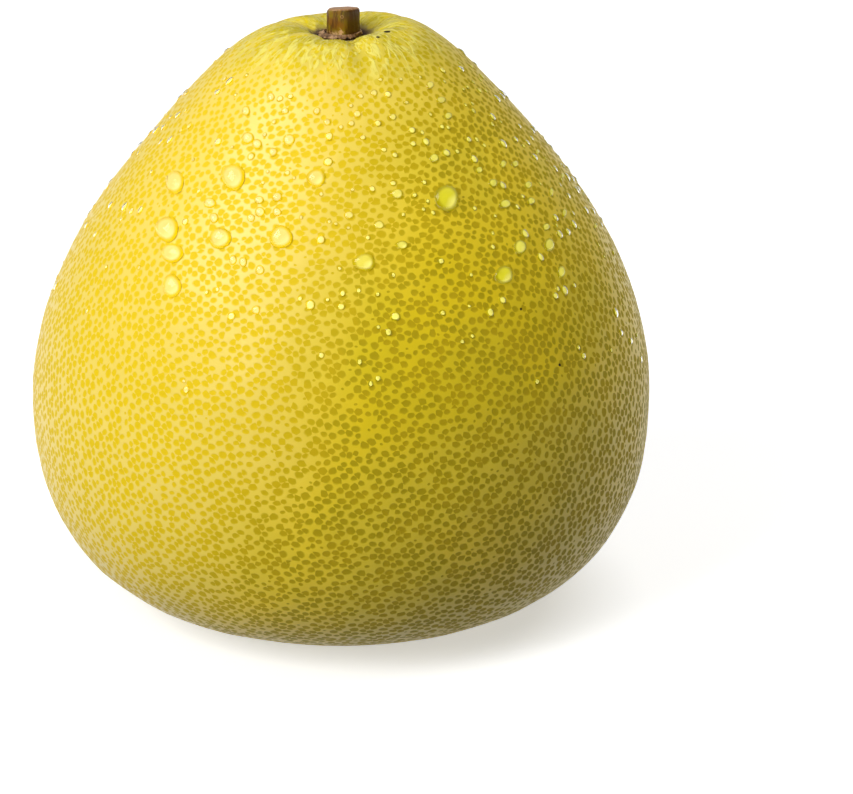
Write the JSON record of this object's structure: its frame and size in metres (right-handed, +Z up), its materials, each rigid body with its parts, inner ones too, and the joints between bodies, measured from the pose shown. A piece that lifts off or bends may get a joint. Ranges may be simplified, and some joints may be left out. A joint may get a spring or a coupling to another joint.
{
  "type": "pomelo",
  "caption": "Whole pear-shaped citrus fruit with a shallow creased basin at the top, a thin lobed calyx and a short cut stalk, standing on a small flat spot.",
  "frame": {"origin": "middle of the small flat spot under the fruit", "axes": "+Z up along the fruit's core, from the flat spot to the stalk; the front of the fruit looks along -Y"},
  "size_m": [0.1552, 0.1547, 0.1527],
  "materials": {
    "rind": "waxy yellow-green skin with pitted oil glands",
    "stalk_wood": "dry brown bark with a green cast, pale cut end",
    "calyx_skin": "dry pinkish brown calyx"
  },
  "bodies": {
    "root": {"fruit": "rind", "stalk": "stalk_wood", "calyx": "calyx_skin"}
  },
  "joints": []
}
